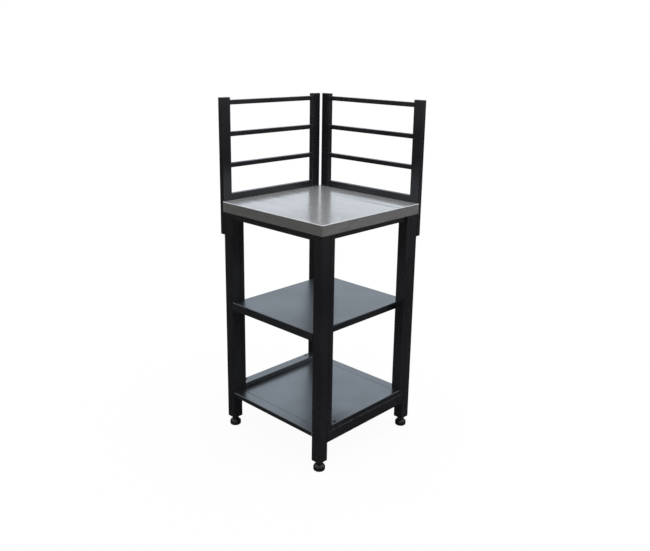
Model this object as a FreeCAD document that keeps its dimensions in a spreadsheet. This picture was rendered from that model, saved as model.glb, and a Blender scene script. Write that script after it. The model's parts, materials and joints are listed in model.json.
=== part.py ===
"""Square corner unit of a steel outdoor kitchen.

Four square-tube legs on screw feet carry a folded stainless worktop, a middle shelf and a
bottom plate.  Two ladder racks are bolted outside the back and right legs.
Millimetres, +Z up, origin on the floor below the middle of the outer box.
Front is -Y and left is -X, so the racks stand on the +Y and +X sides.
"""
import FreeCAD
import Part
import math
import os
import re
import Sketcher

V = FreeCAD.Vector

# Driving dimensions, one cell each
DIMENSIONS = {
    # welded main frame
    "frame_width": 500.0,
    "frame_depth": 500.0,
    "leg_size": 40.0,
    "leg_wall": 2.0,
    "leg_corner": 3.0,
    "beam_bottom": 104.0,
    "beam_size": 40.0,
    "beam_wall": 2.0,
    "rail_height": 40.0,
    "rail_width": 20.0,
    "rail_wall": 1.5,
    "rail_corner": 2.0,
    # worktop
    "worktop_height": 890.5,
    "worktop_edge": 37.5,
    "worktop_sheet": 1.5,
    "worktop_bend": 2.5,
    "skirt_clearance": 1.0,
    "core_thickness": 17.0,
    "core_clearance": 0.5,
    # panel frames between the front legs and between the back legs
    "panel_face": 20.0,
    "panel_depth": 40.0,
    "panel_wall": 1.5,
    "panel_corner": 2.0,
    "sill_hole_radius": 4.0,
    "sill_hole_inset": 85.0,
    "sill_hole_edge": 10.0,
    # bottom: a plate between two side channels
    "tray_sheet": 1.5,
    "tray_flange": 16.5,
    "tray_bend": 2.5,
    "tray_fold": 1.0,
    "tray_clearance": 0.5,
    # middle shelf
    "shelf_top": 513.5,
    "shelf_sheet": 1.5,
    "shelf_side_flange": 30.0,
    "shelf_end_flange": 25.0,
    "shelf_bend": 2.5,
    "shelf_relief": 3.0,
    "shelf_clearance": 0.7,
    "shelf_bolt_drop": 15.0,
    "shelf_pitch": 152.5,
    # ladder racks
    "rack_top": 1260.0,
    "rack_bottom": 766.5,
    "rack_setback": 2.0,
    "rack_clearance": 0.3,
    "post_width": 40.0,
    "post_depth": 20.0,
    "post_wall": 1.5,
    "post_corner": 2.0,
    "cap_thickness": 3.0,
    "cap_clearance": 0.1,
    "rung_size": 16.0,
    "low_rung_height": 25.0,
    "rung_wall": 1.5,
    "rung_drop": 10.0,
    "low_rung_rise": 23.5,
    "rack_bolt_low": 20.5,
    "rack_bolt_pitch": 45.0,
    "shim_width": 18.0,
    "shim_height": 24.0,
    # M6 bolts of the racks and the shelf, drawn at their core diameter
    "bolt_radius": 2.45,
    "bolt_thread_clearance": 0.05,
    "bolt_slot_clearance": 0.85,
    "bolt_engagement": 8.0,
    "dome_radius": 7.0,
    "dome_height": 3.0,
    "dome_chamfer": 2.0,
    "neck_width": 6.0,
    "neck_length": 4.0,
    "neck_clearance": 0.15,
    "hex_head_flats": 10.0,
    "hex_head_height": 4.0,
    # screw feet
    "foot_height": 37.0,
    "nut_plate": 6.0,
    "nut_plate_clearance": 0.1,
    "nut_flats": 17.0,
    "nut_height": 12.0,
    "stud_radius": 5.0,
    "stud_length": 45.0,
    "thread_clearance": 0.05,
    "collar_flats": 22.0,
    "collar_gap": 0.2,
    "swivel_gap": 0.3,
    "pad_radius": 20.0,
    "pad_rim": 8.0,
    "pad_height": 23.5,
    "pad_neck_radius": 13.0,
    "journal_radius": 6.0,
    "journal_length": 14.0,
    "journal_clearance": 0.05,
}

RUNG_COUNT = 4

# Places and sizes that follow from the driving dimensions
DERIVED = {
    "overhang": "worktop_sheet + skirt_clearance",
    "post_inner": "overhang + rack_clearance",
    "rack_reach": "post_inner + post_depth + dome_height",
    "shift": "(rack_reach - overhang) / 2",
    "half_width": "frame_width / 2",
    "half_depth": "frame_depth / 2",
    "leg_x": "half_width - leg_size / 2",
    "leg_y": "half_depth - leg_size / 2",
    "clear_width": "frame_width - 2 * leg_size",
    "clear_depth": "frame_depth - 2 * leg_size",
    "leg_top": "worktop_height - worktop_sheet - core_thickness",
    "beam_top": "beam_bottom + beam_size",
    "tray_top": "beam_top + tray_sheet",
    "panel_y": "half_depth - panel_depth / 2",
    "panel_width": "clear_width - 2 * panel_face",
    "shelf_depth": "clear_depth - 2 * shelf_clearance",
    "shelf_bolt_z": "shelf_top - shelf_bolt_drop",
    "post_x": "half_width - rack_setback - post_width / 2",
    "post_y": "half_depth - rack_setback - post_width / 2",
    "post_offset": "rack_setback + post_width / 2 - leg_size / 2",
    "rack_line": "post_inner + post_depth / 2",
    "rung_pitch": f"(rack_top - rung_drop - worktop_height - low_rung_rise) / {RUNG_COUNT - 1}",
    "rung_length_x": "2 * post_x - post_width",
    "rung_length_y": "2 * post_y - post_width",
    "rack_bolt_z": "rack_bottom + rack_bolt_low",
    "slot_half": "bolt_radius + bolt_slot_clearance",
    "threaded": "bolt_radius + bolt_thread_clearance",
    "collar_bottom": "pad_height + swivel_gap",
    "collar_top": "foot_height - collar_gap",
    "journal_bottom": "collar_bottom - journal_length",
}

SIDES_X = {"left": -1, "right": 1}
SIDES_Y = {"front": -1, "back": 1}
SPARE_STEPS = (-1, 1)
RACK_BOLT_ROWS = 2
# Flats of what is round but need not be drawn finely, so that the model stays light
SHANK_SIDE_COUNT = 6
DOME_SIDE_COUNT = 8
PAD_SIDE_COUNT = 32
HEX_SIDE_COUNT = 6
# Two lengths nearer than this count as equal
TOLERANCE = 0.01
# Rough first size of sketch lines; their constraints then set the real one
SKETCH_START = 10.0

ALONG_X = FreeCAD.Rotation(V(0, 1, 0), 90)
ALONG_Y = FreeCAD.Rotation(V(1, 0, 0), -90)
UPRIGHT = FreeCAD.Rotation()
# Outward from a rack, with the local Y axis pointing down
OUT_BACK = ALONG_Y
OUT_RIGHT = FreeCAD.Rotation(V(0, 0, 1), -90) * ALONG_Y

doc = FreeCAD.newDocument("corner_unit")
nodes = []


# Sheet, derived values and expressions

def make_sheet():
    """Fill the sheet with the driving dimensions and the set of derived values."""
    sheet = doc.addObject("Spreadsheet::Sheet", "Dim")
    for row, (name, number) in enumerate(DIMENSIONS.items(), start=1):
        sheet.set(f"A{row}", name)
        sheet.set(f"B{row}", str(number))
        sheet.setAlias(f"B{row}", name)
    derived = doc.addObject("App::VarSet", "Fit")
    for name in DERIVED:
        derived.addProperty("App::PropertyFloat", name, "Fit")
    doc.recompute()
    for name, text in DERIVED.items():
        derived.setExpression(name, formula(text))
    doc.recompute()
    return sheet, derived


def formula(text):
    """Spell out where each named value of an expression is kept."""
    def owner(match):
        word = match.group(0)
        if word in DIMENSIONS:
            return "Dim." + word
        if word in DERIVED:
            return "Fit." + word
        return word
    return re.sub(r"[a-z_]+", owner, str(text))


def value(name):
    """Number of a driving or derived dimension, for shapes made in code."""
    if name in DIMENSIONS:
        return float(sheet.get(name))
    return float(getattr(derived, name))


def bind(item, **settings):
    """Bind properties of an object to expressions."""
    for name, text in settings.items():
        item.setExpression(name, formula(text))


def place(item, x, y, z, turn=UPRIGHT):
    """Place a sub-part by expressions counted from the middle of the frame, on the floor."""
    item.Placement = FreeCAD.Placement(V(), turn)
    item.setExpression("Placement.Base.x", formula(f"{x} - shift"))
    item.setExpression("Placement.Base.y", formula(f"{y} - shift"))
    item.setExpression("Placement.Base.z", formula(z))


# Sketches

def new_body(label):
    body = doc.addObject("PartDesign::Body", label)
    body.Label = label
    return body


def new_sketch(body, plane, name, height=None):
    """Sketch on one of the body's own origin planes, raised along its normal if asked."""
    sketch = body.newObject("Sketcher::SketchObject", name)
    support = next(f for f in body.Origin.OriginFeatures if f.Role == plane)
    sketch.AttachmentSupport = (support, [""])
    sketch.MapMode = "FlatFace"
    if height is not None:
        sketch.setExpression("AttachmentOffset.Base.z", formula(height))
    return sketch


def limit(sketch, name, text, *where):
    """Dimensional constraint bound to an expression."""
    kind, *rest = where
    index = sketch.addConstraint(Sketcher.Constraint(kind, *rest))
    sketch.renameConstraint(index, name)
    sketch.setExpression(f"Constraints.{name}", formula(text))


def rectangle(sketch, name, width, height, radius=None):
    """Rectangle centred on the sketch's origin, with round corners if a radius is given."""
    first = sketch.GeometryCount
    x, y, r = SKETCH_START, 0.8 * SKETCH_START, 0.2 * SKETCH_START
    lines = [(V(-x + r, -y), V(x - r, -y)), (V(x, -y + r), V(x, y - r)),
             (V(x - r, y), V(-x + r, y)), (V(-x, y - r), V(-x, -y + r))]
    centres = [V(x - r, -y + r), V(x - r, y - r), V(-x + r, y - r), V(-x + r, -y + r)]
    step = 1 if radius is None else 2
    for corner, (start, end) in enumerate(lines):
        sketch.addGeometry(Part.LineSegment(start, end))
        if radius is not None:
            begin = (corner - 1) * math.pi / 2
            arc = Part.Circle(centres[corner], V(0, 0, 1), r)
            sketch.addGeometry(Part.ArcOfCircle(arc, begin, begin + math.pi / 2))
    count = 4 * step
    joint = "Coincident" if radius is None else "Tangent"
    for k in range(count):
        sketch.addConstraint(Sketcher.Constraint(joint, first + k, 2, first + (k + 1) % count, 1))
    bottom, right, top, left = (first + k * step for k in range(4))
    for line in (bottom, top):
        sketch.addConstraint(Sketcher.Constraint("Horizontal", line))
    for line in (left, right):
        sketch.addConstraint(Sketcher.Constraint("Vertical", line))
    sketch.addConstraint(Sketcher.Constraint("Symmetric", bottom, 1, top, 1, -1, 1))
    limit(sketch, name + "_width", width, "DistanceX", left, 1, right, 1, 2 * x)
    limit(sketch, name + "_height", height, "DistanceY", bottom, 1, top, 1, 2 * y)
    if radius is not None:
        for arc in (3, 5, 7):
            sketch.addConstraint(Sketcher.Constraint("Equal", first + 1, first + arc))
        limit(sketch, name + "_radius", radius, "Radius", first + 1, r)


def circle(sketch, name, x, y, radius):
    """Circle at a place given by expressions; a plain 0 puts it on that axis."""
    index = sketch.addGeometry(Part.Circle(V(1, 1, 0), V(0, 0, 1), 1.0))
    pin_point(sketch, name, index, 3, x, y)
    limit(sketch, name + "_radius", radius, "Radius", index, 1.0)


def pin_point(sketch, name, geometry, point, x, y):
    """Fix a point of the sketch by expressions; a plain 0 puts it on that axis."""
    if x == "0":
        sketch.addConstraint(Sketcher.Constraint("PointOnObject", geometry, point, -2))
    else:
        limit(sketch, name + "_x", x, "DistanceX", -1, 1, geometry, point, 1.0)
    if y == "0":
        sketch.addConstraint(Sketcher.Constraint("PointOnObject", geometry, point, -1))
    else:
        limit(sketch, name + "_y", y, "DistanceY", -1, 1, geometry, point, 1.0)


def outline(sketch, points, name="corner"):
    """Closed outline of straight lines through corners that are given by expressions."""
    count = len(points)
    turns = [2 * math.pi * k / count for k in range(count)]
    rough = [V(math.cos(turn), math.sin(turn)) * SKETCH_START for turn in turns]
    first = sketch.GeometryCount
    for k in range(count):
        sketch.addGeometry(Part.LineSegment(rough[k], rough[(k + 1) % count]))
    for k in range(count):
        sketch.addConstraint(
            Sketcher.Constraint("Coincident", first + k, 2, first + (k + 1) % count, 1))
    for k, (x, y) in enumerate(points):
        pin_point(sketch, f"{name}_{k}", first + k, 1, x, y)


def polygon(sketch, sides, radius, name="corner", x="0", y="0"):
    """Regular polygon about a point of the sketch, with one corner straight to the right."""
    points = []
    for k in range(sides):
        turn = 360 * k / sides
        across = x if turn in (90, 270) else f"{x} + ({radius}) * cos({turn})"
        along = y if turn in (0, 180) else f"{y} + ({radius}) * sin({turn})"
        points.append((across, along))
    outline(sketch, points, name)


# Features

def pad(body, sketch, name, length, downward=False):
    feature = body.newObject("PartDesign::Pad", name)
    feature.Profile = sketch
    feature.Reversed = downward
    bind(feature, Length=length)
    return feature


def prism(body, name, sides, radius, base, length, downward=False):
    """Regular prism on the body's Z axis, from a given height upwards or downwards."""
    plan = new_sketch(body, "XY_Plane", name + "_plan", base)
    polygon(plan, sides, radius)
    return pad(body, plan, name, length, downward)


def pocket(body, sketch, name, depth=None, reverse=False, midplane=False):
    """Cut a sketch into the body; with no depth it goes right through."""
    feature = body.newObject("PartDesign::Pocket", name)
    feature.Profile = sketch
    feature.Reversed = reverse
    feature.Midplane = midplane
    if depth is None:
        feature.Type = "ThroughAll"
    else:
        bind(feature, Length=depth)
    return feature


def revolve(body, points, name):
    """Solid of revolution about the body's Z axis, from (radius, height) expressions."""
    sketch = new_sketch(body, "XZ_Plane", name + "_outline")
    outline(sketch, points)
    feature = body.newObject("PartDesign::Revolution", name)
    feature.Profile = sketch
    feature.ReferenceAxis = (sketch, ["V_Axis"])
    feature.Angle = 360.0
    return feature


def edge_feature(kind, body, base, name, chosen):
    """Fillet or chamfer on the edges of a feature that a test picks out."""
    doc.recompute()
    edges = [f"Edge{k}" for k, edge in enumerate(base.Shape.Edges, start=1) if chosen(edge)]
    feature = body.newObject("PartDesign::" + kind, name)
    feature.Base = (base, edges)
    return feature


def lies_at(height):
    """Test for edges that lie flat at a height."""
    def chosen(edge):
        box = edge.BoundBox
        return max(abs(box.ZMin - height), box.ZLength) < TOLERANCE
    return chosen


def tube(label, width, depth, length, wall, corner=None):
    """Hollow section along the body's Z axis, square inside; a corner radius rounds it outside."""
    body = new_body(label)
    section = new_sketch(body, "XY_Plane", "section")
    rectangle(section, "outer", width, depth, corner)
    rectangle(section, "inner", f"{width} - 2 * {wall}", f"{depth} - 2 * {wall}")
    pad(body, section, "tube", length)
    nodes.append(body)
    return body


def wall_holes(body, name, wall, holes, radius, sides=None):
    """Holes through one wall of a tube, at (across, along) places, round unless sides are given."""
    plane = "YZ_Plane" if "X" in wall else "XZ_Plane"
    sketch = new_sketch(body, plane, name + "_places")
    for k, (across, along) in enumerate(holes):
        if sides is None:
            circle(sketch, f"hole_{k}", across, along, radius)
        else:
            polygon(sketch, sides, radius, f"hole_{k}", across, along)
    pocket(body, sketch, name, reverse=wall in ("+X", "-Y"))


# Main frame

def make_leg(side_y, side_x):
    """Leg with threaded holes: three shelf heights inside, two rack bolts in each rack's face.

    The holes that a bolt of the unit fills are drawn with the bolt's few flats.
    """
    sx, sy = SIDES_X[side_x], SIDES_Y[side_y]
    leg = tube(f"leg_{side_y}_{side_x}", "leg_size", "leg_size", "leg_top - foot_height",
               "leg_wall", "leg_corner")
    place(leg, f"{sx} * leg_x", f"{sy} * leg_y", "foot_height")
    inner = "+Y" if sy < 0 else "-Y"
    wall_holes(leg, "shelf_holes", inner, [("0", "shelf_bolt_z - foot_height")], "threaded",
               SHANK_SIDE_COUNT)
    spare = [("0", f"shelf_bolt_z + {step} * shelf_pitch - foot_height") for step in SPARE_STEPS]
    wall_holes(leg, "spare_shelf_holes", inner, spare, "threaded")
    rows = [f"rack_bolt_z + {row} * rack_bolt_pitch - foot_height" for row in range(RACK_BOLT_ROWS)]
    if side_y == "back":
        wall_holes(leg, "back_rack_holes", "+Y",
                   [(f"{-sx} * post_offset", row) for row in rows], "threaded", SHANK_SIDE_COUNT)
    if side_x == "right":
        wall_holes(leg, "right_rack_holes", "+X",
                   [(f"{-sy} * post_offset", row) for row in rows], "threaded", SHANK_SIDE_COUNT)


def make_lower_beam(side_y):
    sy = SIDES_Y[side_y]
    beam = tube(f"lower_beam_{side_y}", "beam_size", "leg_size", "clear_width",
                "beam_wall", "leg_corner")
    place(beam, "-clear_width / 2", f"{sy} * leg_y", "beam_bottom + beam_size / 2", ALONG_X)


def make_side_rail(side_x):
    sx = SIDES_X[side_x]
    rail = tube(f"side_rail_{side_x}", "rail_width", "rail_height", "clear_depth",
                "rail_wall", "rail_corner")
    place(rail, f"{sx} * (half_width - rail_width / 2)", "-clear_depth / 2",
          "leg_top - rail_height / 2", ALONG_Y)


# Panel frames: sill, two uprights and a head rail, front and back

def make_panel_upright(side_y, side_x):
    sx, sy = SIDES_X[side_x], SIDES_Y[side_y]
    upright = tube(f"panel_upright_{side_y}_{side_x}", "panel_face", "panel_depth",
                   "leg_top - tray_top", "panel_wall", "panel_corner")
    place(upright, f"{sx} * (clear_width - panel_face) / 2", f"{sy} * panel_y", "tray_top")


def make_panel_sill(side_y):
    """Sill on the bottom plate's edge, with two holes near its outer face."""
    sy = SIDES_Y[side_y]
    sill = tube(f"panel_sill_{side_y}", "panel_face", "panel_depth", "panel_width",
                "panel_wall", "panel_corner")
    place(sill, "-panel_width / 2", f"{sy} * panel_y", "tray_top + panel_face / 2", ALONG_X)
    across = f"{sy} * (panel_depth / 2 - sill_hole_edge)"
    along = [f"panel_width / 2 + {sx} * (half_width - sill_hole_inset)" for sx in SIDES_X.values()]
    wall_holes(sill, "panel_holes", "-X", [(across, x) for x in along], "sill_hole_radius")


def make_head_rail(side_y):
    sy = SIDES_Y[side_y]
    rail = tube(f"head_rail_{side_y}", "rail_height", "rail_width", "panel_width",
                "rail_wall", "rail_corner")
    place(rail, "-panel_width / 2", f"{sy} * panel_y", "leg_top - rail_height / 2", ALONG_X)


# Sheet metal: worktop, shelf and bottom

def hollow_below(body, width, depth, height):
    """Cut out the inside of a folded lid from below."""
    inside = new_sketch(body, "XY_Plane", "inside_plan")
    rectangle(inside, "inside", width, depth)
    pocket(body, inside, "open_below", height, reverse=True)


def make_worktop_shell():
    """Lid folded from sheet, with welded corners, that drops over the legs and rails."""
    shell = new_body("worktop_shell")
    sketch = new_sketch(shell, "XY_Plane", "plan")
    rectangle(sketch, "plan", "frame_width + 2 * overhang", "frame_depth + 2 * overhang")
    block = pad(shell, sketch, "block", "worktop_edge")
    rounded = edge_feature("Fillet", shell, block, "bend",
                           lambda edge: edge.BoundBox.ZMax > TOLERANCE)
    bind(rounded, Radius="worktop_bend")
    hollow_below(shell, "frame_width + 2 * skirt_clearance", "frame_depth + 2 * skirt_clearance",
                 "worktop_edge - worktop_sheet")
    place(shell, "0", "0", "worktop_height - worktop_edge")
    nodes.append(shell)


def make_worktop_core():
    """Stiffening board glued under the sheet, which rests on the legs and rails."""
    core = new_body("worktop_core")
    sketch = new_sketch(core, "XY_Plane", "plan")
    spare = "2 * (skirt_clearance - core_clearance)"
    rectangle(sketch, "plan", f"frame_width + {spare}", f"frame_depth + {spare}")
    pad(core, sketch, "board", "core_thickness")
    place(core, "0", "0", "leg_top")
    nodes.append(core)


def make_mid_shelf():
    """Folded shelf between the front and back legs; slots in its end flanges drop over the bolts."""
    shelf = new_body("mid_shelf")
    sketch = new_sketch(shelf, "XY_Plane", "plan")
    rectangle(sketch, "plan", "frame_width", "shelf_depth")
    block = pad(shelf, sketch, "block", "shelf_side_flange")
    rounded = edge_feature("Fillet", shelf, block, "bend", lies_at(value("shelf_side_flange")))
    bind(rounded, Radius="shelf_bend")
    hollow_below(shelf, "frame_width - 2 * shelf_sheet", "shelf_depth - 2 * shelf_sheet",
                 "shelf_side_flange - shelf_sheet")
    cuts = new_sketch(shelf, "XZ_Plane", "end_flange_cuts")
    inside = "frame_width / 2 - shelf_sheet - shelf_relief"
    low = "shelf_side_flange - shelf_end_flange"
    slot_top = "shelf_side_flange - shelf_bolt_drop + slot_half"
    outline(cuts, [(f"-({inside})", f"-({low})"), (inside, f"-({low})"),
                   (inside, low), ("leg_x + slot_half", low), ("leg_x + slot_half", slot_top),
                   ("leg_x - slot_half", slot_top), ("leg_x - slot_half", low),
                   ("slot_half - leg_x", low), ("slot_half - leg_x", slot_top),
                   ("-slot_half - leg_x", slot_top), ("-slot_half - leg_x", low),
                   (f"-({inside})", low)])
    pocket(shelf, cuts, "shorter_end_flanges_and_slots", midplane=True)
    place(shelf, "0", "0", "shelf_top - shelf_side_flange")
    nodes.append(shelf)


def make_bottom_channel(side_x):
    """Folded channel between the front and back legs, level with the bottom plate."""
    sx = SIDES_X[side_x]
    channel = new_body(f"bottom_channel_{side_x}")
    plan = new_sketch(channel, "XY_Plane", "plan")
    rectangle(plan, "plan", "leg_size", "clear_depth")
    block = pad(channel, plan, "block", "tray_flange")
    at_top = lies_at(value("tray_flange"))
    for name, side, radius in (("outer_bend", sx, "tray_bend"), ("inner_bend", -sx, "tray_fold")):
        block = edge_feature("Fillet", channel, block, name, lambda edge, side=side: at_top(edge)
                             and abs(edge.CenterOfMass.x - side * value("leg_size") / 2) < TOLERANCE)
        bind(block, Radius=radius)
    hollow_below(channel, "leg_size - 2 * tray_sheet", "2 * clear_depth", "tray_flange - tray_sheet")
    place(channel, f"{sx} * leg_x", "0", "tray_top - tray_flange")
    nodes.append(channel)


def make_bottom_plate():
    """Plate on the lower beams, held down by the sills, with its sides folded down between the beams."""
    plate = new_body("bottom_plate")
    plan = new_sketch(plate, "XY_Plane", "plan")
    rectangle(plan, "plan", "clear_width - 2 * tray_clearance", "clear_depth - 2 * tray_clearance")
    block = pad(plate, plan, "block", "tray_flange")
    at_top = lies_at(value("tray_flange"))
    rounded = edge_feature("Fillet", plate, block, "fold",
                           lambda edge: at_top(edge) and edge.BoundBox.XLength < TOLERANCE)
    bind(rounded, Radius="tray_fold")
    ceiling = "tray_flange - tray_sheet"
    hollow_below(plate, "clear_width - 2 * (tray_clearance + tray_sheet)", "clear_depth", ceiling)
    sheet_plan = new_sketch(plate, "XY_Plane", "end_plan", ceiling)
    rectangle(sheet_plan, "ends", "clear_width - 2 * (tray_clearance + tray_fold)", "frame_depth")
    pad(plate, sheet_plan, "ends", "tray_sheet")
    place(plate, "0", "0", "tray_top - tray_flange")
    nodes.append(plate)


# Ladder racks

def make_rack_post(label, facing, width, depth, x, y):
    """Upright of a rack, with square holes through both walls for the necks of its bolts."""
    post = tube(label, width, depth, "rack_top - rack_bottom", "post_wall", "post_corner")
    holes = new_sketch(post, "XZ_Plane" if facing == "Y" else "YZ_Plane", "bolt_places")
    half = "(neck_width / 2 + neck_clearance)"
    for row in range(RACK_BOLT_ROWS):
        z = f"rack_bolt_low + {row} * rack_bolt_pitch"
        outline(holes, [(f"-{half}", f"{z} - {half}"), (half, f"{z} - {half}"),
                        (half, f"{z} + {half}"), (f"-{half}", f"{z} + {half}")], f"hole_{row}")
    pocket(post, holes, "bolt_holes", midplane=True)
    place(post, x, y, "rack_bottom")


def make_rack_rung(label, rung, length, x, y, turn):
    """Rung of a rack; the lowest is taller and closes the gap behind the worktop's edge."""
    height = "low_rung_height" if rung == RUNG_COUNT - 1 else "rung_size"
    width, depth = (height, "rung_size") if turn is ALONG_X else ("rung_size", height)
    bar = tube(label, width, depth, length, "rung_wall")
    place(bar, x, y, f"rack_top - rung_drop - {rung} * rung_pitch - {height} / 2", turn)


def make_back_rack():
    line = "half_depth + rack_line"
    for side_x, sx in SIDES_X.items():
        make_rack_post(f"back_rack_post_{side_x}", "Y", "post_width", "post_depth",
                       f"{sx} * post_x", line)
    for rung in range(RUNG_COUNT):
        make_rack_rung(f"back_rack_rung_{rung + 1}", rung, "rung_length_x",
                       "-rung_length_x / 2", line, ALONG_X)


def make_right_rack():
    line = "half_width + rack_line"
    for side_y, sy in SIDES_Y.items():
        make_rack_post(f"right_rack_post_{side_y}", "X", "post_depth", "post_width",
                       line, f"{sy} * post_y")
    for rung in range(RUNG_COUNT):
        make_rack_rung(f"right_rack_rung_{rung + 1}", rung, "rung_length_y",
                       line, "-rung_length_y / 2", ALONG_Y)


# Screw feet

def make_leg_nut(side_y, side_x):
    """Plate in the leg's lower end with a hexagon nut on it, welded in for the foot's screw."""
    sx, sy = SIDES_X[side_x], SIDES_Y[side_y]
    nut = new_body(f"leg_nut_{side_y}_{side_x}")
    plan = new_sketch(nut, "XY_Plane", "plate_plan")
    size = "leg_size - 2 * (leg_wall + nut_plate_clearance)"
    rectangle(plan, "plate", size, size)
    pad(nut, plan, "plate", "nut_plate")
    prism(nut, "nut", HEX_SIDE_COUNT, "nut_flats / 2 / cos(30)", "nut_plate", "nut_height")
    bore = new_sketch(nut, "XY_Plane", "bore_plan")
    circle(bore, "bore", "0", "0", "stud_radius + thread_clearance")
    pocket(nut, bore, "thread", reverse=True)
    place(nut, f"{sx} * leg_x", f"{sy} * leg_y", "foot_height")
    nodes.append(nut)


def make_foot_stud(side_y, side_x):
    """Screw with a hexagon collar; its lower journal turns in the pad."""
    sx, sy = SIDES_X[side_x], SIDES_Y[side_y]
    stud = new_body(f"foot_stud_{side_y}_{side_x}")
    thread_end = "collar_top + stud_length"
    revolve(stud, [("0", "journal_bottom"), ("journal_radius", "journal_bottom"),
                   ("journal_radius", "(collar_bottom + collar_top) / 2"),
                   ("stud_radius", "(collar_bottom + collar_top) / 2"),
                   ("stud_radius", thread_end), ("0", thread_end)], "screw")
    prism(stud, "collar", HEX_SIDE_COUNT, "collar_flats / 2 / cos(30)", "collar_bottom",
          "collar_top - collar_bottom")
    place(stud, f"{sx} * leg_x", f"{sy} * leg_y", "0")
    nodes.append(stud)


def make_foot_pad(side_y, side_x):
    """Round foot that stands on the floor: upright rim, sloping shoulder and a socket for the screw."""
    sx, sy = SIDES_X[side_x], SIDES_Y[side_y]
    foot = new_body(f"foot_pad_{side_y}_{side_x}")
    disc = prism(foot, "disc", PAD_SIDE_COUNT, "pad_radius", "0", "pad_height")
    shoulder = edge_feature("Chamfer", foot, disc, "shoulder", lies_at(value("pad_height")))
    shoulder.ChamferType = "Two distances"
    bind(shoulder, Size="pad_height - pad_rim", Size2="pad_radius - pad_neck_radius")
    socket = new_sketch(foot, "XY_Plane", "socket_plan", "journal_bottom - swivel_gap")
    circle(socket, "socket", "0", "0", "journal_radius + journal_clearance")
    pocket(foot, socket, "socket", reverse=True)
    place(foot, f"{sx} * leg_x", f"{sy} * leg_y", "0")
    nodes.append(foot)


# Fasteners, shims and caps, each kind a group of equal solids

def group(label, master, places):
    """Node made of copies of one master body at the given placements."""
    doc.recompute()
    copies = []
    for spot in places:
        solid = master.Shape.copy()
        solid.Placement = spot
        copies.append(solid)
    item = doc.addObject("Part::Feature", label)
    item.Label = label
    item.Shape = Part.makeCompound(copies)
    nodes.append(item)


def spot(x, y, z, turn=UPRIGHT):
    """Placement of a copy, counted from the frame's middle."""
    shift = value("shift")
    return FreeCAD.Placement(V(x - shift, y - shift, z), turn)


def on_racks(out, heights, back_turn, right_turn):
    """Places on the posts of both racks, a given way out from the legs' outer faces."""
    spots = []
    for z in heights:
        for sx in SIDES_X.values():
            spots.append(spot(sx * value("post_x"), value("half_depth") + out, z, back_turn))
        for sy in SIDES_Y.values():
            spots.append(spot(value("half_width") + out, sy * value("post_y"), z, right_turn))
    return spots


def make_rack_fasteners():
    """Dome-head bolts with square necks, and slotted shims that fill the gap to the legs."""
    bolt = new_body("rack_bolt_master")
    head = prism(bolt, "head", DOME_SIDE_COUNT, "dome_radius", "0", "dome_height")
    dome = edge_feature("Chamfer", bolt, head, "dome", lies_at(value("dome_height")))
    bind(dome, Size="dome_chamfer")
    neck = new_sketch(bolt, "XY_Plane", "neck_plan")
    rectangle(neck, "neck", "neck_width", "neck_width")
    pad(bolt, neck, "neck", "neck_length", downward=True)
    prism(bolt, "shank", SHANK_SIDE_COUNT, "bolt_radius", "-neck_length",
          "post_depth + post_inner + leg_wall + bolt_engagement - neck_length", downward=True)
    rows = [value("rack_bolt_z") + row * value("rack_bolt_pitch") for row in range(RACK_BOLT_ROWS)]
    out = value("post_inner") + value("post_depth")
    group("rack_bolts", bolt, on_racks(out, rows, OUT_BACK, OUT_RIGHT))
    shim = new_body("rack_shim_master")
    plan = new_sketch(shim, "XY_Plane", "plan")
    outline(plan, [("-shim_width / 2", "-shim_height / 2"), ("shim_width / 2", "-shim_height / 2"),
                   ("shim_width / 2", "shim_height / 2"), ("slot_half", "shim_height / 2"),
                   ("slot_half", "-slot_half"), ("-slot_half", "-slot_half"),
                   ("-slot_half", "shim_height / 2"), ("-shim_width / 2", "shim_height / 2")])
    pad(shim, plan, "shim", "post_inner")
    group("rack_shims", shim, on_racks(0.0, rows, OUT_BACK, OUT_RIGHT))


def make_post_caps():
    """Plates welded flush into the upper and lower ends of the rack posts."""
    cap = new_body("post_cap_master")
    plan = new_sketch(cap, "XY_Plane", "plan")
    inside = "2 * (post_wall + cap_clearance)"
    rectangle(plan, "plate", f"post_width - {inside}", f"post_depth - {inside}")
    pad(cap, plan, "plate", "cap_thickness")
    heights = (value("rack_bottom"), value("rack_top") - value("cap_thickness"))
    quarter = FreeCAD.Rotation(V(0, 0, 1), 90)
    group("rack_post_caps", cap, on_racks(value("rack_line"), heights, UPRIGHT, quarter))


def make_shelf_bolts():
    """Hexagon bolts through the slots in the shelf's end flanges into the legs."""
    bolt = new_body("shelf_bolt_master")
    prism(bolt, "head", HEX_SIDE_COUNT, "hex_head_flats / 2 / cos(30)", "0", "hex_head_height")
    prism(bolt, "shank", SHANK_SIDE_COUNT, "bolt_radius", "0",
          "shelf_sheet + shelf_clearance + leg_wall + bolt_engagement", downward=True)
    seat = value("shelf_depth") / 2 - value("shelf_sheet")
    spots = []
    for sy in SIDES_Y.values():
        inward = FreeCAD.Rotation(V(0, 0, 1), V(0, -sy, 0))
        for sx in SIDES_X.values():
            spots.append(spot(sx * value("leg_x"), sy * seat, value("shelf_bolt_z"), inward))
    group("shelf_bolts", bolt, spots)


# Checks and files

def check_model():
    """Stop if a feature failed, a cut removed nothing or a shape is bad."""
    for item in doc.Objects:
        if "Invalid" in item.State or "Error" in item.State:
            raise RuntimeError(f"{item.Label} failed: {item.State}")
        if item.TypeId == "PartDesign::Pocket":
            if item.Shape.Volume >= item.BaseFeature.Shape.Volume - TOLERANCE:
                raise RuntimeError(f"{item.Label} of {item.getParent().Label} cuts nothing")
    for node in nodes:
        if node.Shape.isNull() or not node.Shape.isValid():
            raise RuntimeError(f"{node.Label} has a bad shape")


def write_parts():
    os.makedirs("parts", exist_ok=True)
    for node in nodes:
        node.Shape.exportStep(f"parts/{node.Label}.step")


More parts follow.
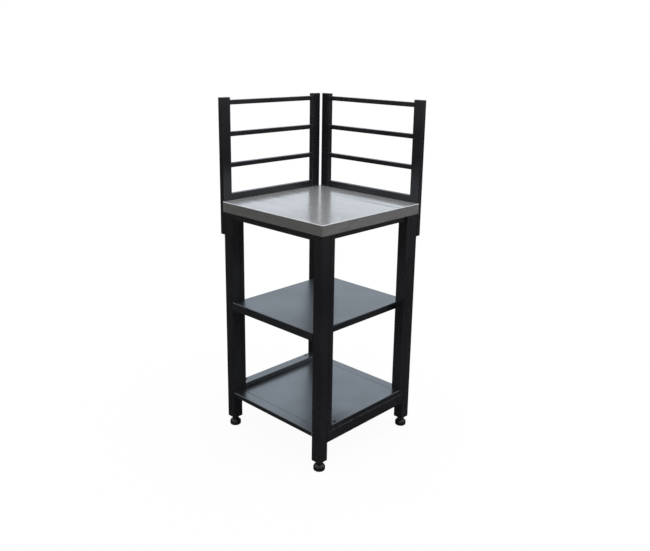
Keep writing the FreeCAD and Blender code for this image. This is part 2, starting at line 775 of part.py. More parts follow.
sheet, derived = make_sheet()
make_worktop_shell()
make_worktop_core()
for name_y in SIDES_Y:
    make_lower_beam(name_y)
    make_panel_sill(name_y)
    make_head_rail(name_y)
    for name_x in SIDES_X:
        make_leg(name_y, name_x)
        make_panel_upright(name_y, name_x)
        make_leg_nut(name_y, name_x)
        make_foot_stud(name_y, name_x)
        make_foot_pad(name_y, name_x)
for name_x in SIDES_X:
    make_side_rail(name_x)
    make_bottom_channel(name_x)
make_mid_shelf()
make_bottom_plate()
make_back_rack()
make_right_rack()
make_rack_fasteners()
make_post_caps()
make_shelf_bolts()
doc.recompute()
check_model()
write_parts()
print(f"{len(nodes)} nodes written")
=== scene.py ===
"""Looks of the outdoor kitchen corner unit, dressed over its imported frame.  Metres, +Z up."""
import bmesh
import bpy
import json
import math
from mathutils import Matrix, Vector


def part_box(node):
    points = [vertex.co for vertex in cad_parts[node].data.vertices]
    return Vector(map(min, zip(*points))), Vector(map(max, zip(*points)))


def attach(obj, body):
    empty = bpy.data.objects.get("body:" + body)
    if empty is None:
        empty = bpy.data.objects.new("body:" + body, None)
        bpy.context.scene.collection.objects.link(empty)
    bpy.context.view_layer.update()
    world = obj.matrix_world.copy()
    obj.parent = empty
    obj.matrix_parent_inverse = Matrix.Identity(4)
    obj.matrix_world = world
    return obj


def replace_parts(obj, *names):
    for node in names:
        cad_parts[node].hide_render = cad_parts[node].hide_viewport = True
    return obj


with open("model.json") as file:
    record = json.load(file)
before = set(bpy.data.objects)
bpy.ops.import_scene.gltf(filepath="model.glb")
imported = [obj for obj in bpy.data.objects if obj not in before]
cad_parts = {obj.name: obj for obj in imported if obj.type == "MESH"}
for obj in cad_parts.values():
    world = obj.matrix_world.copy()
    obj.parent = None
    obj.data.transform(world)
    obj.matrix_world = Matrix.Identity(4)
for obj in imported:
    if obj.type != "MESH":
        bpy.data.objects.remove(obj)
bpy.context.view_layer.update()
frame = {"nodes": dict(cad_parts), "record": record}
MM = 0.001
CORNERS = [(y, x) for y in ("front", "back") for x in ("left", "right")]


# Node helpers

def add(tree, kind, **settings):
    """Add a node; a setting names a property or an input, which takes a value or a socket."""
    node = tree.nodes.new(kind)
    for name, what in settings.items():
        socket = node.inputs.get(name.title())
        if socket is None:
            setattr(node, name, what)
        elif isinstance(what, bpy.types.NodeSocket):
            tree.links.new(what, socket)
        else:
            socket.default_value = what
    return node


def combine(tree, operation, first, second):
    """Result of a calculation with two sockets."""
    node = add(tree, "ShaderNodeMath", operation=operation)
    tree.links.new(first, node.inputs[0])
    tree.links.new(second, node.inputs[1])
    return node.outputs["Value"]


def ramp(tree, factor, low, high, start=0.3, end=0.7):
    """Colour that goes from low to high as the factor goes from start to end."""
    node = tree.nodes.new("ShaderNodeValToRGB")
    tree.links.new(factor, node.inputs["Fac"])
    for element, position, colour in zip(node.color_ramp.elements, (start, end), (low, high)):
        element.position = position
        element.color = (*colour, 1.0)
    return node.outputs["Color"]


def spread(tree, factor, low, high, start=0.3, end=0.7):
    """Number that goes from low to high as the factor goes from start to end."""
    node = tree.nodes.new("ShaderNodeMapRange")
    tree.links.new(factor, node.inputs["Value"])
    limits = {"From Min": start, "From Max": end, "To Min": low, "To Max": high}
    for name, number in limits.items():
        node.inputs[name].default_value = number
    return node.outputs["Result"]


def blend(tree, factor, first, second):
    """Mix of a colour socket with a fixed colour."""
    node = add(tree, "ShaderNodeMix", data_type="RGBA")
    sockets = {socket.identifier: socket for socket in node.inputs}
    tree.links.new(factor, sockets["Factor_Float"])
    tree.links.new(first, sockets["A_Color"])
    sockets["B_Color"].default_value = (*second, 1.0)
    return next(socket for socket in node.outputs if socket.identifier == "Result_Color")


def noise(tree, scale, detail, stretch=(1.0, 1.0, 1.0)):
    """Noise in the object's own metres, stretched along its axes."""
    coordinates = add(tree, "ShaderNodeTexCoord").outputs["Object"]
    mapping = add(tree, "ShaderNodeMapping", vector=coordinates, scale=stretch)
    grain = add(tree, "ShaderNodeTexNoise", vector=mapping.outputs["Vector"], scale=scale,
                detail=detail)
    return grain.outputs["Fac"]


# Materials

EDGE_RADIUS, EDGE_SAMPLES = 1.5 * MM, 6
EDGE_COSINES = (0.80, 0.99)  # of the angle between rounded and flat normal, from the edge with wear and painted highlight to plain
CLOUD_SCALE, SPECK_SCALE = 7.0, 160.0
PEEL_STRENGTH, LINE_STRENGTH, GRAIN_STRENGTH = 0.35, 0.2, 0.3
NOISE_RANGE, SUM_RANGE = (0.25, 0.75), (0.1, 0.9)
WAVES, WAVE_DEPTH = (30.0, 3.0, 30.0), 1.2 * MM
# Limits of the normal's height: from sides to top for the metal shares, and from sides to bends
# and from bends to top for the painted highlight along the bends
SIDE_TO_TOP, SIDE_TO_BEND, BEND_TO_TOP = (0.6, 0.95), (0.10, 0.30), (0.96, 0.995)


def rounded_edges(tree, radius, edge_wear_and_highlight):
    """Normal that is rounded over sharp edges, and a mask of those edges broken up by a noise."""
    bevel = add(tree, "ShaderNodeBevel", samples=EDGE_SAMPLES, radius=radius)
    flat = add(tree, "ShaderNodeNewGeometry")
    dot = add(tree, "ShaderNodeVectorMath", operation="DOT_PRODUCT")
    tree.links.new(bevel.outputs["Normal"], dot.inputs[0])
    tree.links.new(flat.outputs["Normal"], dot.inputs[1])
    edge = spread(tree, dot.outputs["Value"], 1.0, 0.0, *EDGE_COSINES)
    patches = spread(tree, edge_wear_and_highlight, 0.15, 1.0, 0.35, 0.65)
    return bevel.outputs["Normal"], combine(tree, "MULTIPLY", edge, patches)


def new_material(name, metallic=0.0, ior=1.5):
    material = bpy.data.materials.new(name)
    material.use_nodes = True
    shader = material.node_tree.nodes["Principled BSDF"]
    shader.inputs["Metallic"].default_value = metallic
    shader.inputs["IOR"].default_value = ior
    return material, material.node_tree, shader


def coated(name, dark, light, edge_wear_and_highlight, rough, peel_size, peel_depth, ior=1.5, tint=(1.0, 1.0, 1.0)):
    """Coated or moulded surface: cloudy colour, uneven gloss, fine grain and paler edges, part
    wear and part painted highlight.
    """
    material, tree, shader = new_material(name, ior=ior)
    shader.inputs["Specular Tint"].default_value = (*tint, 1.0)
    cloud = noise(tree, CLOUD_SCALE, 5.0)
    speck = noise(tree, SPECK_SCALE, 2.0)
    body = ramp(tree, cloud, dark, light)
    soft_normal, edge = rounded_edges(tree, EDGE_RADIUS, speck)
    # Paler colour on sharp edges, broken up by specks: part wear, part painted highlight
    tree.links.new(blend(tree, edge, body, edge_wear_and_highlight), shader.inputs["Base Color"])
    tree.links.new(spread(tree, cloud, *rough), shader.inputs["Roughness"])
    peel = noise(tree, 1.0 / peel_size, 2.0)
    bump = add(tree, "ShaderNodeBump", height=peel, strength=PEEL_STRENGTH, distance=peel_depth,
               normal=soft_normal)
    tree.links.new(bump.outputs["Normal"], shader.inputs["Normal"])
    return material


def brushed(name, dark, light, rough, lines, depth):
    """Brushed metal: fine lines along one axis in colour, gloss and relief."""
    material, tree, shader = new_material(name, metallic=1.0)
    fine = noise(tree, 1.0, 4.0, lines)
    broad = noise(tree, 1.0, 3.0, [math.sqrt(count) * 3.0 for count in lines])
    both = combine(tree, "ADD", spread(tree, fine, 0.0, 0.5, *NOISE_RANGE),
                   spread(tree, broad, 0.0, 0.5, *NOISE_RANGE))
    tree.links.new(ramp(tree, both, dark, light, *SUM_RANGE), shader.inputs["Base Color"])
    tree.links.new(spread(tree, both, *rough, *SUM_RANGE), shader.inputs["Roughness"])
    bump = add(tree, "ShaderNodeBump", height=fine, strength=LINE_STRENGTH, distance=depth)
    tree.links.new(bump.outputs["Normal"], shader.inputs["Normal"])
    return material


def sheet_steel(name, dark, light, bend_highlight, rough, lines, depth, shares):
    """Brushed sheet, wavy, with a painted highlight along its bends, and metal shares for sides
    and top.
    """
    material = brushed(name, dark, light, rough, lines, depth)
    tree = material.node_tree
    shader = tree.nodes["Principled BSDF"]
    normal = add(tree, "ShaderNodeNewGeometry").outputs["Normal"]
    upward = add(tree, "ShaderNodeSeparateXYZ", vector=normal).outputs["Z"]
    tree.links.new(spread(tree, upward, *shares, *SIDE_TO_TOP), shader.inputs["Metallic"])
    # Painted highlight: base colour lightened along the bends, between sides and top
    bend_highlight_mask = combine(tree, "MULTIPLY", spread(tree, upward, 0.0, 1.0, *SIDE_TO_BEND),
                   spread(tree, upward, 1.0, 0.0, *BEND_TO_TOP))
    body = shader.inputs["Base Color"].links[0].from_socket
    tree.links.new(blend(tree, bend_highlight_mask, body, bend_highlight), shader.inputs["Base Color"])
    wave = noise(tree, 1.0, 1.5, WAVES)
    sheet = add(tree, "ShaderNodeBump", height=wave, strength=1.0, distance=WAVE_DEPTH)
    fine = shader.inputs["Normal"].links[0].from_node
    tree.links.new(sheet.outputs["Normal"], fine.inputs["Normal"])
    return material


def plywood(name):
    """Sealed plywood: thin layers across its height and long grain."""
    material, tree, shader = new_material(name)
    layers = noise(tree, 1.0, 2.0, (4.0, 4.0, 520.0))
    grain = noise(tree, 1.0, 4.0, (6.0, 220.0, 60.0))
    both = combine(tree, "ADD", spread(tree, layers, 0.0, 0.6), spread(tree, grain, 0.0, 0.4))
    wood = ramp(tree, both, (0.20, 0.12, 0.06), (0.42, 0.29, 0.17), *SUM_RANGE)
    tree.links.new(wood, shader.inputs["Base Color"])
    tree.links.new(spread(tree, grain, 0.5, 0.7), shader.inputs["Roughness"])
    bump = add(tree, "ShaderNodeBump", height=both, strength=GRAIN_STRENGTH, distance=0.2 * MM)
    tree.links.new(bump.outputs["Normal"], shader.inputs["Normal"])
    return material


COOL_TINT = (0.85, 0.92, 1.0)
# The third colour of each coated material is its paler edge: part wear, part painted highlight
MATERIALS = {
    "black_coat": coated("black_coat", (0.0106, 0.0100, 0.0116), (0.0150, 0.0142, 0.0162),
                         (0.020, 0.020, 0.021), (0.21, 0.28), 0.9 * MM, 0.04 * MM,
                         ior=1.55, tint=COOL_TINT),
    "black_sheet": coated("black_sheet", (0.0030, 0.0032, 0.0038), (0.0050, 0.0053, 0.0061),
                          (0.016, 0.016, 0.017), (0.28, 0.36), 0.9 * MM, 0.04 * MM,
                          ior=2.50, tint=COOL_TINT),
    # The third colour of the stainless is the painted highlight along its bends
    "stainless": sheet_steel("stainless", (0.360, 0.366, 0.369), (0.455, 0.461, 0.464),
                             (0.66, 0.67, 0.68), (0.16, 0.24), (1100.0, 3.0, 1100.0), 0.01 * MM,
                             (0.78, 0.55)),
    "core_board": plywood("core_board"),
    "black_plastic": coated("black_plastic", (0.010, 0.010, 0.011), (0.016, 0.016, 0.017),
                            (0.030, 0.030, 0.030), (0.48, 0.60), 0.5 * MM, 0.05 * MM),
    "foot_plastic": coated("foot_plastic", (0.009, 0.009, 0.010), (0.015, 0.015, 0.016),
                           (0.035, 0.035, 0.035), (0.30, 0.45), 0.6 * MM, 0.05 * MM),
    "foot_steel": coated("foot_steel", (0.012, 0.012, 0.013), (0.022, 0.021, 0.021),
                         (0.070, 0.068, 0.065), (0.28, 0.42), 0.4 * MM, 0.03 * MM),
    "zinc_steel": brushed("zinc_steel", (0.45, 0.46, 0.48), (0.62, 0.63, 0.64), (0.25, 0.38),
                          (400.0, 400.0, 400.0), 0.02 * MM),
    "black_screw": coated("black_screw", (0.012, 0.012, 0.012), (0.024, 0.023, 0.022),
                          (0.080, 0.078, 0.075), (0.30, 0.45), 0.4 * MM, 0.03 * MM),
}

# The shelf, the bottom sheets and the sills have a glossier coat than the other tubes
GLOSSY_SHEETS = ("mid_shelf", "bottom_plate", "bottom_channel_left", "bottom_channel_right",
                 "panel_sill_front", "panel_sill_back")
for part in frame["record"]["subparts"]:
    surface = frame["nodes"][part["node"]].data
    surface.materials.clear()
    finish = "black_sheet" if part["node"] in GLOSSY_SHEETS else part["material_slot"]
    surface.materials.append(MATERIALS[finish])


# Mesh helpers

HEX_FACE = 0.95  # of a hexagon's flats: the width of its turned end faces
THREAD_FORM = ((0, 0.0), (0, 0.15), (1, 0.45), (1, 0.70))  # core 0 or crest 1, share of the pitch
MERGE = 1e-7


def scaled(points):
    return [(radius * MM, height * MM) for radius, height in points]


def lathe(mesh, outline, count, start=0):
    """Turned shape from (radius, height) pairs, closed where it meets the axis."""
    rings = []
    for radius, height in outline:
        if radius == 0:
            rings.append([mesh.verts.new((0, 0, height))])
            continue
        ring = []
        for k in range(count):
            turn = 2 * math.pi * (k + start) / count
            ring.append(mesh.verts.new((radius * math.cos(turn), radius * math.sin(turn), height)))
        rings.append(ring)
    for low, high in zip(rings, rings[1:]):
        for k in range(count):
            a, b = low[k % len(low)], low[(k + 1) % count % len(low)]
            c, d = high[(k + 1) % count % len(high)], high[k % len(high)]
            corners = [a, b, c, d]
            mesh.faces.new([v for n, v in enumerate(corners) if v not in corners[:n]])


def thread(mesh, core, crest, pitch, low, high, count):
    """Right-hand thread as a helical band with a flat root and crest, clipped to its ends."""
    turns = math.ceil((high - low) / pitch) + 1
    rows = []
    for turn in range(-1, turns):
        for is_crest, share in THREAD_FORM:
            row = []
            for k in range(count + 1):
                height = low + pitch * (turn + share + k / count)
                clipped = min(max(height, low), high)
                radius = crest if is_crest and clipped == height else core
                angle = 2 * math.pi * k / count
                spot = (radius * math.cos(angle), radius * math.sin(angle), clipped)
                row.append(mesh.verts.new(spot))
            rows.append(row)
    for below, above in zip(rows, rows[1:]):
        for k in range(count):
            mesh.faces.new((below[k], below[k + 1], above[k + 1], above[k]))


def hexagon(mesh, flats, low, high, bevel):
    """Hexagon with both ends turned to a chamfer, so that its corners are rounded off."""
    face = flats / 2 * HEX_FACE
    corner = flats / 2 / math.cos(math.radians(30))
    lathe(mesh, [(0, low), (face, low), (corner, low + bevel), (corner, high - bevel),
                 (face, high), (0, high)], 6)


def finish_piece(name, mesh, body, slot, smooth_angle):
    """Turn a mesh into a piece that rides on a body and takes a slot's material."""
    bmesh.ops.remove_doubles(mesh, verts=mesh.verts, dist=MERGE)
    bmesh.ops.dissolve_degenerate(mesh, edges=mesh.edges, dist=MERGE)
    bmesh.ops.recalc_face_normals(mesh, faces=mesh.faces)
    data = bpy.data.meshes.new(name)
    mesh.to_mesh(data)
    mesh.free()
    data.materials.append(MATERIALS[slot])
    data.shade_smooth()
    data.set_sharp_from_angle(angle=math.radians(smooth_angle))
    piece = bpy.data.objects.new(name, data)
    bpy.context.scene.collection.objects.link(piece)
    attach(piece, body)
    return piece


def copies(make, spots):
    """One mesh with a copy of a shape at each place, its own +Z pointing outward."""
    mesh = bmesh.new()
    for place, outward in spots:
        single = bmesh.new()
        make(single)
        turn = Vector(outward).to_track_quat("Z", "Y").to_matrix().to_4x4()
        single.transform(Matrix.Translation(place) @ turn)
        data = bpy.data.meshes.new("copy")
        single.to_mesh(data)
        single.free()
        mesh.from_mesh(data)
        bpy.data.meshes.remove(data)
    return mesh


def middle(node):
    """Centre of a node's box, on the floor."""
    low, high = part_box(node)
    return Vector(((low.x + high.x) / 2, (low.y + high.y) / 2, 0))


# Feet: rounded pads, and studs with a chamfered hexagon and a real thread, in millimetres

PAD = [(0, 0), (17.0, 0), (18.8, 0.4), (20.0, 1.4), (20.7, 3.0), (21.0, 5.0), (21.0, 12.4),
       (20.7, 14.4), (19.9, 16.4), (18.5, 18.3), (16.7, 19.9), (14.9, 21.1), (13.6, 22.3),
       (12.9, 23.2), (12.0, 23.5), (8.4, 23.5), (7.6, 23.1), (6.15, 23.1), (6.1, 22.6), (6.1, 9.6),
       (0, 9.6)]
JOURNAL = [(0, 9.8), (5.4, 9.8), (6.0, 10.6), (6.0, 24.0), (0, 24.0)]
COLLAR_FLATS, COLLAR_LOW, COLLAR_HIGH, COLLAR_BEVEL = 22.0, 23.8, 36.8, 1.2
CORE, CREST, PITCH, THREAD_LOW, THREAD_HIGH = 4.1, 5.0, 1.5, 36.7, 81.0
ROD_LOW, ROD_CHAMFER = 36.0, 0.8
ROD = [(0, ROD_LOW), (CORE, ROD_LOW), (CORE, THREAD_HIGH),
       (CORE - ROD_CHAMFER, THREAD_HIGH + ROD_CHAMFER), (0, THREAD_HIGH + ROD_CHAMFER)]
PAD_SIDES, JOURNAL_SIDES, SCREW_SIDES = 72, 32, 20


def make_foot(corner):
    place = Matrix.Translation(middle(f"foot_pad_{corner}"))
    pad = bmesh.new()
    lathe(pad, scaled(PAD), PAD_SIDES)
    pad.transform(place)
    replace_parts(finish_piece(f"foot_{corner}", pad, f"pad_{corner}", "foot_plastic", 30),
                f"foot_pad_{corner}")
    stud = bmesh.new()
    lathe(stud, scaled(JOURNAL), JOURNAL_SIDES)
    hexagon(stud, COLLAR_FLATS * MM, COLLAR_LOW * MM, COLLAR_HIGH * MM, COLLAR_BEVEL * MM)
    thread(stud, CORE * MM, CREST * MM, PITCH * MM, THREAD_LOW * MM, THREAD_HIGH * MM, SCREW_SIDES)
    lathe(stud, scaled(ROD), SCREW_SIDES)
    stud.transform(place)
    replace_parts(finish_piece(f"stud_{corner}", stud, f"stud_{corner}", "foot_steel", 25),
                f"foot_stud_{corner}")


for y, x in CORNERS:
    make_foot(f"{y}_{x}")


# Fasteners: dome-head bolts on the racks, hexagon bolts inside the shelf's end flanges

DOME = [(0, 3.0), (1.6, 2.93), (3.2, 2.68), (4.6, 2.22), (5.7, 1.58), (6.5, 0.85), (6.9, 0.3),
        (7.0, 0), (0, 0)]
NECK_HALF, NECK_DEPTH, NECK_TAPER = 3.0, 4.0, 0.6
WASHER_HEIGHT = 0.5
WASHER = [(0, 0), (4.9, 0), (4.9, WASHER_HEIGHT), (0, WASHER_HEIGHT)]
HEAD_FLATS, HEAD_HEIGHT, HEAD_BEVEL = 10.0, 4.0, 0.7
SHANK_RADIUS, SHANK_CHAMFER = 2.45, 0.8
RACK_SHANK, SHELF_SHANK = 32.8, 12.2
RACK_BOLT_HEIGHTS = (20.5, 65.5)
SHELF_SHEET, SHELF_BOLT_DROP = 1.5, 15.0
DOME_SIDES, WASHER_SIDES, SHANK_SIDES = 40, 32, 20


def shank(mesh, length):
    """Plain bolt shank below the head, with a chamfered end."""
    end = SHANK_RADIUS - SHANK_CHAMFER
    lathe(mesh, scaled([(0, -length), (end, -length), (SHANK_RADIUS, SHANK_CHAMFER - length),
                        (SHANK_RADIUS, 0), (0, 0)]), SHANK_SIDES)


def dome_bolt(mesh):
    lathe(mesh, scaled(DOME), DOME_SIDES)
    corner = NECK_HALF * math.sqrt(2)
    neck = [(0, -NECK_DEPTH), (corner - NECK_TAPER, -NECK_DEPTH),
            (corner, NECK_TAPER - NECK_DEPTH), (corner, 0), (0, 0)]
    lathe(mesh, scaled(neck), 4, 0.5)  # square, with its sides along the axes
    shank(mesh, RACK_SHANK)


def hex_bolt(mesh):
    lathe(mesh, scaled(WASHER), WASHER_SIDES)
    hexagon(mesh, HEAD_FLATS * MM, WASHER_HEIGHT * MM, HEAD_HEIGHT * MM, HEAD_BEVEL * MM)
    shank(mesh, SHELF_SHANK)


def bolt_set(name, node, make, spots):
    """Piece that replaces a node with bolts at the given spots."""
    slot = next(part["material_slot"] for part in frame["record"]["subparts"]
                if part["node"] == node)
    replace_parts(finish_piece(name, copies(make, spots), "frame", slot, 30), node)


rack_spots = []
for rack, post_ends in (("back", ("left", "right")), ("right", ("front", "back"))):
    for post_end in post_ends:
        low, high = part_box(f"{rack}_rack_post_{post_end}")
        centre = (low + high) / 2
        for rise in RACK_BOLT_HEIGHTS:
            if rack == "back":
                spot = (Vector((centre.x, high.y, low.z + rise * MM)), (0, 1, 0))
            else:
                spot = (Vector((high.x, centre.y, low.z + rise * MM)), (1, 0, 0))
            rack_spots.append(spot)
bolt_set("rack_bolt_set", "rack_bolts", dome_bolt, rack_spots)

shelf_low, shelf_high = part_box("mid_shelf")
bolt_height = shelf_high.z - SHELF_BOLT_DROP * MM
shelf_spots = []
for y, x in CORNERS:
    across = middle(f"leg_{y}_{x}").x
    if y == "front":
        spot = (Vector((across, shelf_low.y + SHELF_SHEET * MM, bolt_height)), (0, 1, 0))
    else:
        spot = (Vector((across, shelf_high.y - SHELF_SHEET * MM, bolt_height)), (0, -1, 0))
    shelf_spots.append(spot)
bolt_set("shelf_bolt_set", "shelf_bolts", hex_bolt, shelf_spots)


# Rings: plastic bushes in the sills' holes, rims of threaded inserts in the spare shelf holes

BUSH = [(3.4, -4.0), (3.9, -4.0), (3.9, 0), (5.3, 0), (5.3, 0.7), (4.8, 1.2), (3.8, 1.2),
        (3.4, 0.8), (3.4, -4.0)]
RIM = [(2.1, -2.5), (2.4, -2.5), (2.4, 0), (4.4, 0), (4.4, 0.5), (4.0, 0.8), (2.5, 0.8),
       (2.1, 0.4), (2.1, -2.5)]
BUSH_FROM_EDGE, BUSH_SPACING = 10.0, 330.0
SPARE_HOLE_STEP = 152.5
RING_SIDES = 32


def bush(mesh):
    lathe(mesh, scaled(BUSH), RING_SIDES)


def rim(mesh):
    lathe(mesh, scaled(RIM), RING_SIDES)


bush_spots = []
for side in ("front", "back"):
    low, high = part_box(f"panel_sill_{side}")
    depth = low.y + BUSH_FROM_EDGE * MM if side == "front" else high.y - BUSH_FROM_EDGE * MM
    for share in (-0.5, 0.5):
        across = (low.x + high.x) / 2 + share * BUSH_SPACING * MM
        bush_spots.append((Vector((across, depth, high.z)), (0, 0, 1)))
finish_piece("sill_bushes", copies(bush, bush_spots), "frame", "black_plastic", 40)

rim_spots = []
for y, x in CORNERS:
    low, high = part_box(f"leg_{y}_{x}")
    depth, outward = (high.y, (0, 1, 0)) if y == "front" else (low.y, (0, -1, 0))
    for step in (-SPARE_HOLE_STEP, SPARE_HOLE_STEP):
        height = shelf_high.z + (step - SHELF_BOLT_DROP) * MM
        rim_spots.append((Vector(((low.x + high.x) / 2, depth, height)), outward))
finish_piece("spare_hole_rims", copies(rim, rim_spots), "frame", "black_screw", 40)


# Welds: rippled fillet beads round the ends of the rungs

BEAD_RADIUS, BEAD_STEP, BEAD_SIDES = 1.3 * MM, 0.8 * MM, 6
RIPPLE, RIPPLE_TURN = 0.15 * MM, 2.1
RUNGS = 4


def ring_path(low, high, across):
    """Points, with outward directions, round a rectangle in the plane of two axes."""
    first, second = across
    corners = [(low[first], low[second]), (high[first], low[second]),
               (high[first], high[second]), (low[first], high[second])]
    path = []
    for side, direction in enumerate([(0, -1), (1, 0), (0, 1), (-1, 0)]):
        start, end = Vector(corners[side]), Vector(corners[(side + 1) % 4])
        count = max(2, round((end - start).length / BEAD_STEP))
        for k in range(count):
            path.append((start.lerp(end, k / count), Vector(direction)))
    return path


def weld(mesh, low, high, along, place):
    """Closed bead round a rung's end, where it meets the post at a place along its axis."""
    across = [axis for axis in range(3) if axis != along]
    rings = []
    for index, (spot, direction) in enumerate(ring_path(low, high, across)):
        radius = BEAD_RADIUS + RIPPLE * math.sin(index * RIPPLE_TURN)
        ring = []
        for side in range(BEAD_SIDES):
            turn = 2 * math.pi * side / BEAD_SIDES
            point = [0.0, 0.0, 0.0]
            point[along] = place + radius * math.sin(turn)
            for axis, value, aim in zip(across, spot, direction):
                point[axis] = value + aim * radius * math.cos(turn)
            ring.append(mesh.verts.new(point))
        rings.append(ring)
    for near, far in zip(rings, rings[1:] + rings[:1]):
        for side in range(BEAD_SIDES):
            after = (side + 1) % BEAD_SIDES
            mesh.faces.new((near[side], near[after], far[after], far[side]))


welds = bmesh.new()
for rack, along in (("back", 0), ("right", 1)):
    for rung in range(1, RUNGS + 1):
        low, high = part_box(f"{rack}_rack_rung_{rung}")
        for rung_end in (low[along], high[along]):
            weld(welds, low, high, along, rung_end)
finish_piece("rung_welds", welds, "frame", "black_coat", 60)


# Camera: fitted to the edges of the photograph, counted from the near leg's outer corner

FOCAL_PX, IMAGE_WIDTH, SENSOR_WIDTH = 729.51, 650, 36.0
YAW, PITCH_DOWN, ROLL = math.radians(43.660), math.radians(15.219), math.radians(0.880)
FROM_NEAR_CORNER = Vector((-1620.0, -1557.0, 0)) * MM
CAMERA_HEIGHT = 1433.6 * MM
LENS_SHIFT = -0.045

near_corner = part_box("leg_front_left")[0]
ahead = Vector((math.cos(YAW), math.sin(YAW), 0))
aside = Vector((math.sin(YAW), -math.cos(YAW), 0))
up = Vector((0, 0, 1))
look = ahead * math.cos(PITCH_DOWN) - up * math.sin(PITCH_DOWN)
above = up * math.cos(PITCH_DOWN) + ahead * math.sin(PITCH_DOWN)
right = aside * math.cos(ROLL) + above * math.sin(ROLL)
top = above * math.cos(ROLL) - aside * math.sin(ROLL)
viewpoint = Matrix((right, top, -look)).transposed().to_4x4()
viewpoint.translation = Vector((near_corner.x, near_corner.y, CAMERA_HEIGHT)) + FROM_NEAR_CORNER
camera = bpy.data.objects.new("camera", bpy.data.cameras.new("camera"))
camera.data.sensor_width = SENSOR_WIDTH
camera.data.lens = FOCAL_PX / IMAGE_WIDTH * camera.data.sensor_width
camera.data.shift_y = LENS_SHIFT
camera.matrix_world = viewpoint
bpy.context.scene.collection.objects.link(camera)
bpy.context.scene.camera = camera


# Studio: white floor and backdrop, soft lamps, dark and bright walls that only reflections see

WORLD_LEVEL = 0.35
FLOOR_REACH, FLOOR_COLOUR = 30.0, (0.92, 0.92, 0.92, 1.0)
SHADOW_SHARE, SHADOW_FADE = 0.045, (0.45, 1.1)
NEAR, FAR, APRON_HEIGHT = -2.6, 5.0, 0.003
BAND_TOP, NEAR_TOP, FAR_TOP, PANEL_TOP = 0.25, 1.2, 2.0, 6.0
DARK = (0.040, 0.040, 0.041)
LAMP_TARGET = Vector((0, 0, 0.6))
LAMPS = {  # place, size in metres, power in watts
    "overhead": (Vector((0.2, -0.2, 3.4)), 2.6, 90.0),
    "key": (Vector((1.6, -3.2, 2.6)), 1.8, 30.0),
    "fill": (Vector((-3.2, 1.0, 2.2)), 2.0, 12.0),
}


def seen_directly(tree):
    """1 for rays from the camera, off gloss or through glass, else 0."""
    rays = add(tree, "ShaderNodeLightPath").outputs
    seen = combine(tree, "MAXIMUM", rays["Is Camera Ray"], rays["Is Glossy Ray"])
    return combine(tree, "MAXIMUM", seen, rays["Is Transmission Ray"])


def make_world():
    """White where it is seen, and plain soft light on everything else."""
    world = bpy.data.worlds.new("studio")
    bpy.context.scene.world = world
    world.use_nodes = True
    tree = world.node_tree
    background = tree.nodes["Background"]
    background.inputs["Color"].default_value = (1, 1, 1, 1)
    strength = spread(tree, seen_directly(tree), WORLD_LEVEL, 1.0, 0.0, 1.0)
    tree.links.new(strength, background.inputs["Strength"])


def bare_material(name):
    """Material with nothing but its output node."""
    material = bpy.data.materials.new(name)
    material.use_nodes = True
    tree = material.node_tree
    tree.nodes.clear()
    return material, tree, add(tree, "ShaderNodeOutputMaterial")


def floor_material():
    """Mostly white where it is seen, with a share that takes light and the object's shadow."""
    material, tree, out = bare_material("floor")
    lit = add(tree, "ShaderNodeBsdfDiffuse", color=FLOOR_COLOUR)
    glow = add(tree, "ShaderNodeEmission")
    distance = add(tree, "ShaderNodeVectorMath", operation="LENGTH")
    tree.links.new(add(tree, "ShaderNodeTexCoord").outputs["Object"], distance.inputs[0])
    white = spread(tree, distance.outputs["Value"], 1.0 - SHADOW_SHARE, 1.0, *SHADOW_FADE)
    mix = add(tree, "ShaderNodeMixShader",
              fac=combine(tree, "MULTIPLY", seen_directly(tree), white))
    tree.links.new(lit.outputs["BSDF"], mix.inputs[1])
    tree.links.new(glow.outputs["Emission"], mix.inputs[2])
    tree.links.new(mix.outputs["Shader"], out.inputs["Surface"])
    return material


def wall_material(name, colour):
    material, tree, out = bare_material(name)
    glow = add(tree, "ShaderNodeEmission", color=(*colour, 1.0))
    tree.links.new(glow.outputs["Emission"], out.inputs["Surface"])
    return material


def make_plane(name, corners, material):
    data = bpy.data.meshes.new(name)
    data.from_pydata(corners, [], [range(len(corners))])
    data.materials.append(material)
    item = bpy.data.objects.new(name, data)
    bpy.context.scene.collection.objects.link(item)
    return item


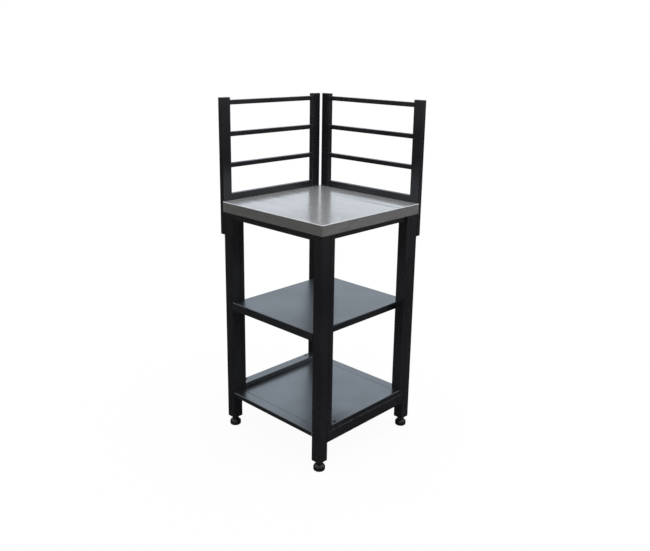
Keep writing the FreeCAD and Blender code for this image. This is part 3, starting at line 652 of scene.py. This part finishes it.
def level(low, high, height):
    """Corners of a level square."""
    return [(low, low, height), (high, low, height), (high, high, height), (low, high, height)]


def upright(start, end, low, high):
    """Corners of a wall above a line on the floor."""
    return [(*start, low), (*end, low), (*end, high), (*start, high)]


def make_lamp(name, place, size, power):
    """Soft square lamp that reflections don't see."""
    data = bpy.data.lights.new(name, "AREA")
    data.shape = "SQUARE"
    data.size = size
    data.energy = power
    lamp = bpy.data.objects.new(name, data)
    lamp.location = place
    lamp.visible_glossy = False
    lamp.rotation_euler = (LAMP_TARGET - place).to_track_quat("-Z", "Y").to_euler()
    bpy.context.scene.collection.objects.link(lamp)


make_world()
make_plane("floor", level(-FLOOR_REACH, FLOOR_REACH, 0), floor_material())
LEFT_LINE, FRONT_LINE = ((NEAR, NEAR), (NEAR, FAR)), ((NEAR, NEAR), (FAR, NEAR))
BACK_LINE, RIGHT_LINE = ((NEAR, FAR), (FAR, FAR)), ((FAR, NEAR), (FAR, FAR))
WALLS = {
    "band_left": (upright(*LEFT_LINE, 0, BAND_TOP), (0.094, 0.080, 0.050)),
    "wall_left": (upright(*LEFT_LINE, BAND_TOP, NEAR_TOP), DARK),
    "band_front": (upright(*FRONT_LINE, 0, BAND_TOP), (0.300, 0.284, 0.280)),
    "wall_front": (upright(*FRONT_LINE, BAND_TOP, NEAR_TOP), DARK),
    "wall_back": (upright(*BACK_LINE, 0, FAR_TOP), DARK),
    "wall_right": (upright(*RIGHT_LINE, 0, FAR_TOP), DARK),
    "panel_back": (upright(*BACK_LINE, FAR_TOP, PANEL_TOP), (1.10, 1.20, 1.31)),
    "panel_right": (upright(*RIGHT_LINE, FAR_TOP, PANEL_TOP), (1.14, 1.24, 1.35)),
    "apron": (level(NEAR, FAR, APRON_HEIGHT), DARK),
}
for name, (corners, colour) in WALLS.items():
    wall = make_plane(name, corners, wall_material(name, colour))
    wall.visible_camera = False
    wall.visible_diffuse = False
    wall.visible_shadow = False
    wall.visible_transmission = False
for name, (place, size, power) in LAMPS.items():
    make_lamp(name, place, size, power)

bpy.context.scene.view_settings.view_transform = "Standard"
